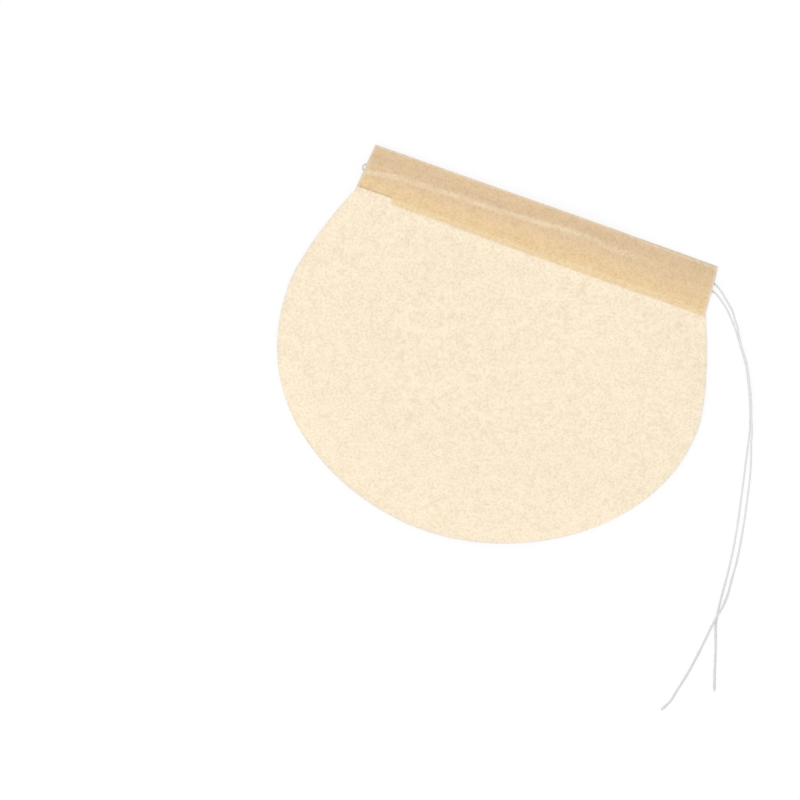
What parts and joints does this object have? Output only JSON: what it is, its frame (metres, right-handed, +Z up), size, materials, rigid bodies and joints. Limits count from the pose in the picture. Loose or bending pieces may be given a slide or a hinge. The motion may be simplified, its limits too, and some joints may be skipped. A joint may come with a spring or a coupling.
{
  "type": "drawstring tea filter bag",
  "caption": "Flat round-bottomed paper filter bag with a folded hem at the mouth and a cotton drawstring running through it.",
  "frame": {"origin": "on the table, under the middle of the two paper panels, free string tails left out", "axes": "+X along the hem, towards the end where the string comes out; +Y to the mouth; +Z up, from the back panel to the front one"},
  "size_m": [0.1251, 0.1014, 0.0014],
  "materials": {
    "filter_paper": "unbleached fibrous filter paper, matt and slightly see-through",
    "cotton_string": "white twisted cotton, matt"
  },
  "bodies": {
    "root": {"back_panel": "filter_paper", "front_panel": "filter_paper", "drawstring_run": "cotton_string", "drawstring_front_tail": "cotton_string", "drawstring_back_tail": "cotton_string"}
  },
  "joints": []
}
